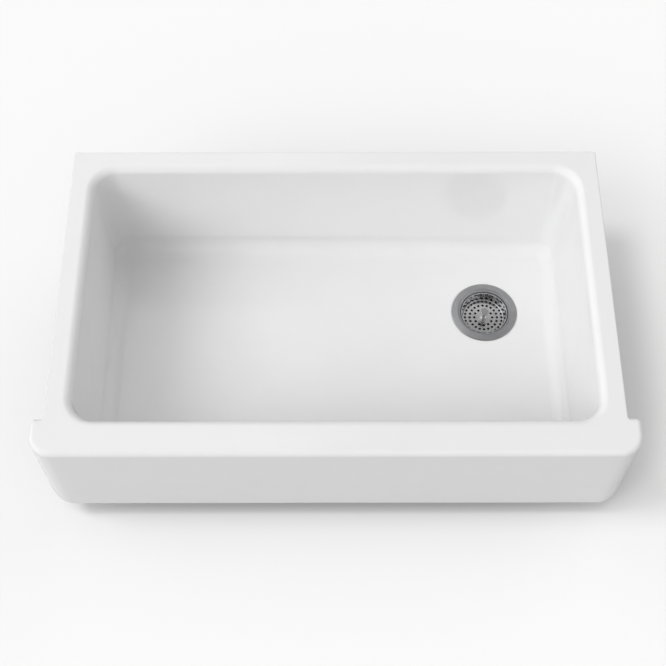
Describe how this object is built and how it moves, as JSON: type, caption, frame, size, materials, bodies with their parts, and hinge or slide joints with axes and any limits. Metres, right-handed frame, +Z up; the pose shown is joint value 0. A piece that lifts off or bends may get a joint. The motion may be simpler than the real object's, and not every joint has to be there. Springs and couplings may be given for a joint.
{
  "type": "farmhouse apron front sink",
  "caption": "White enamelled farmhouse kitchen sink with one deep bowl, an apron front with side ears and a lift-out strainer that closes the drain.",
  "frame": {"origin": "middle of the apron's flat top face, which is level with the deck", "axes": "+X along the apron to the right as seen from the front, +Y from the apron to the wall, +Z up"},
  "size_m": [0.9064, 0.5477, 0.4118],
  "materials": {
    "enamelled_iron": "glossy white vitreous enamel on cast iron",
    "polished_steel": "polished stainless steel",
    "chromed_brass": "chrome plate on brass tube",
    "plated_nut": "dull nickel plate on cast brass",
    "black_rubber": "moulded matt rubber",
    "putty": "oil putty",
    "fibre": "pressed red-brown fibre"
  },
  "bodies": {
    "root": {"sink_basin": "enamelled_iron", "strainer_body": "polished_steel", "putty_ring": "putty", "floor_gasket": "black_rubber", "friction_ring": "fibre", "locknut": "plated_nut", "outlet_crossbar": "polished_steel", "tailpiece_washer": "black_rubber", "tailpiece": "chromed_brass", "coupling_nut": "chromed_brass"},
    "stopper": {"lift_post": "polished_steel", "lift_knob": "polished_steel", "basket_washer": "polished_steel", "spacer_sleeve": "polished_steel", "upper_seal_disc": "polished_steel", "stopper_seal": "black_rubber", "lower_seal_disc": "polished_steel", "retaining_nut": "polished_steel", "grip_ring": "black_rubber"},
    "basket": {"basket_cup": "polished_steel"}
  },
  "joints": [
    {"name": "basket_lift", "type": "slide", "parent": "root", "child": "stopper", "axis": [0, 0, 1], "range_m": [-0.008, 0.3]},
    {"name": "basket_spin", "type": "hinge", "parent": "stopper", "child": "basket", "pos_m": [0.2622, 0.3405, -0.2495], "axis": [0, 0, 1], "continuous": true}
  ]
}
